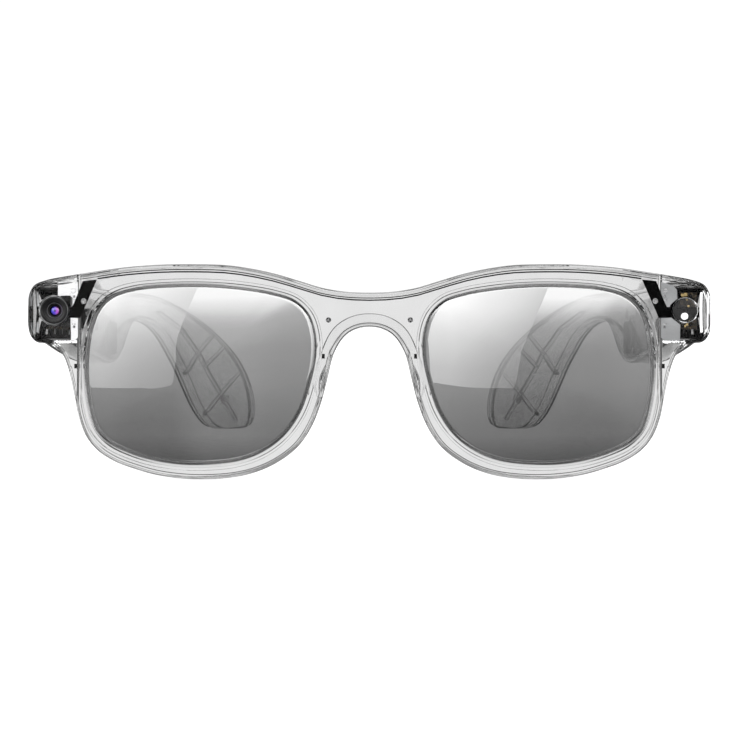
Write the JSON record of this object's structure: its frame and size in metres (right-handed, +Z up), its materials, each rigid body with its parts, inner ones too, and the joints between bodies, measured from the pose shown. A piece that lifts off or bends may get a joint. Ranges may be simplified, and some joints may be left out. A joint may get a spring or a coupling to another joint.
{
  "type": "smart glasses",
  "caption": "Clear-framed smart glasses with tinted lenses, a camera in one corner, a status light in the other and folding temples with ribbed ear hooks.",
  "frame": {"origin": "middle of the footprint, on the table: the rims and the ear hooks rest on z = 0", "axes": "+X towards the wearer's left, -Y ahead of the wearer, +Z up with the glasses standing on a table"},
  "size_m": [0.1492, 0.1444, 0.0468],
  "materials": {
    "clear_frame": "polished clear injection-moulded plastic",
    "clear_housing": "polished clear plastic",
    "clear_temple": "polished clear plastic, ribs moulded in",
    "clear_cover": "polished clear plastic",
    "clear_button": "clear plastic, softly polished",
    "soft_clear": "clear silicone, satin",
    "tinted_lens": "neutral grey tint with a light mirror coat, gradient",
    "black_plastic": "satin black",
    "flex_black": "black polyimide flex with a matt cover layer",
    "circuit_board": "dark solder mask with small parts",
    "bright_steel": "bright polished heads",
    "hinge_steel": "satin",
    "switch_metal": "stamped, bright",
    "speaker_grille": "dark woven mesh",
    "battery_foil": "satin laminated pouch foil",
    "camera_glass": "coated, violet-blue reflection",
    "light_cover": "clear window",
    "light_white": "white diffuser",
    "gold_contact": "gold plated, bright"
  },
  "bodies": {
    "front": {"front_frame": "clear_frame", "rear_frame": "clear_frame", "nose_saddle": "soft_clear", "cross_ribbon": "flex_black", "left_lens": "tinted_lens", "left_saddle_rivet": "bright_steel", "left_nose_rim_pin": "black_plastic", "left_temple_rim_pin": "black_plastic", "left_end_housing": "clear_housing", "left_flex_strip": "flex_black", "left_strip_rivet": "bright_steel", "left_hinge_bracket": "hinge_steel", "left_bracket_screw_lower": "bright_steel", "left_bracket_screw_upper": "bright_steel", "left_hinge_pin": "hinge_steel", "light_window": "light_cover", "light_emitter": "light_white", "light_board": "circuit_board", "right_lens": "tinted_lens", "right_saddle_rivet": "bright_steel", "right_nose_rim_pin": "black_plastic", "right_temple_rim_pin": "black_plastic", "right_end_housing": "clear_housing", "right_flex_strip": "flex_black", "right_strip_rivet": "bright_steel", "right_hinge_bracket": "hinge_steel", "right_bracket_screw_lower": "bright_steel", "right_bracket_screw_upper": "bright_steel", "right_hinge_pin": "hinge_steel", "camera_body": "black_plastic", "camera_barrel": "black_plastic", "camera_lens": "camera_glass", "camera_board": "circuit_board"},
    "right_temple": {"right_hinge_leaf": "hinge_steel", "right_temple_arm": "clear_temple", "right_temple_cover": "clear_cover", "right_tip_screw": "bright_steel", "right_battery": "battery_foil", "right_circuit_board": "circuit_board", "right_speaker": "black_plastic", "right_speaker_mesh": "speaker_grille", "capture_switch": "switch_metal", "charge_pad": "black_plastic", "charge_contact_front": "gold_contact", "charge_contact_rear": "gold_contact"},
    "left_temple": {"left_hinge_leaf": "hinge_steel", "left_temple_arm": "clear_temple", "left_temple_cover": "clear_cover", "left_tip_screw": "bright_steel", "left_battery": "battery_foil", "left_circuit_board": "circuit_board", "left_speaker": "black_plastic", "left_speaker_mesh": "speaker_grille", "power_switch": "switch_metal"},
    "capture_button": {"capture_button": "clear_button"},
    "power_button": {"power_button": "clear_button"}
  },
  "joints": [
    {"name": "right_hinge", "type": "hinge", "parent": "front", "child": "right_temple", "pos_m": [-0.0669, -0.05217, 0.03575], "axis": [0, -0.052, -0.9986], "range_deg": [0, 78]},
    {"name": "left_hinge", "type": "hinge", "parent": "front", "child": "left_temple", "pos_m": [0.0669, -0.05217, 0.03575], "axis": [0, 0.052, 0.9986], "range_deg": [0, 70]},
    {"name": "capture_press", "type": "slide", "parent": "right_temple", "child": "capture_button", "axis": [0, -0.052, -0.9986], "range_m": [0, 0.0004], "stiffness_N_per_m": 600, "springref_m": -0.0008},
    {"name": "power_press", "type": "slide", "parent": "left_temple", "child": "power_button", "axis": [0, -0.052, -0.9986], "range_m": [0, 0.0004], "stiffness_N_per_m": 600, "springref_m": -0.0008}
  ]
}
